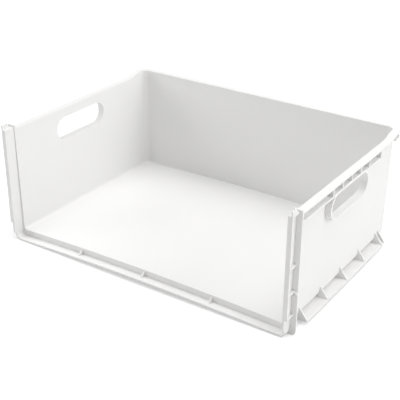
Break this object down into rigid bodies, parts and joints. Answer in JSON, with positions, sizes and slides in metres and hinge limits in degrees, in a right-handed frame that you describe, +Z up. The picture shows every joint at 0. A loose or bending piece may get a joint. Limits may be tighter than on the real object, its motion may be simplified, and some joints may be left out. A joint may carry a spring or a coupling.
{
  "type": "freezer drawer body",
  "caption": "One-piece moulded freezer drawer body, open at the front, with hand holes in its side walls, a raised back rim and slide rails.",
  "frame": {"origin": "centre of the bounding box at its bottom, under the lower edge of the front plate", "axes": "+X across the drawer's width, +Y from the open front to the back wall, +Z up; the open front faces -Y"},
  "size_m": [0.4494, 0.312, 0.1715],
  "materials": {
    "tub": "white polystyrene, satin gloss"
  },
  "bodies": {
    "root": {"drawer_tub": "tub"}
  },
  "joints": []
}
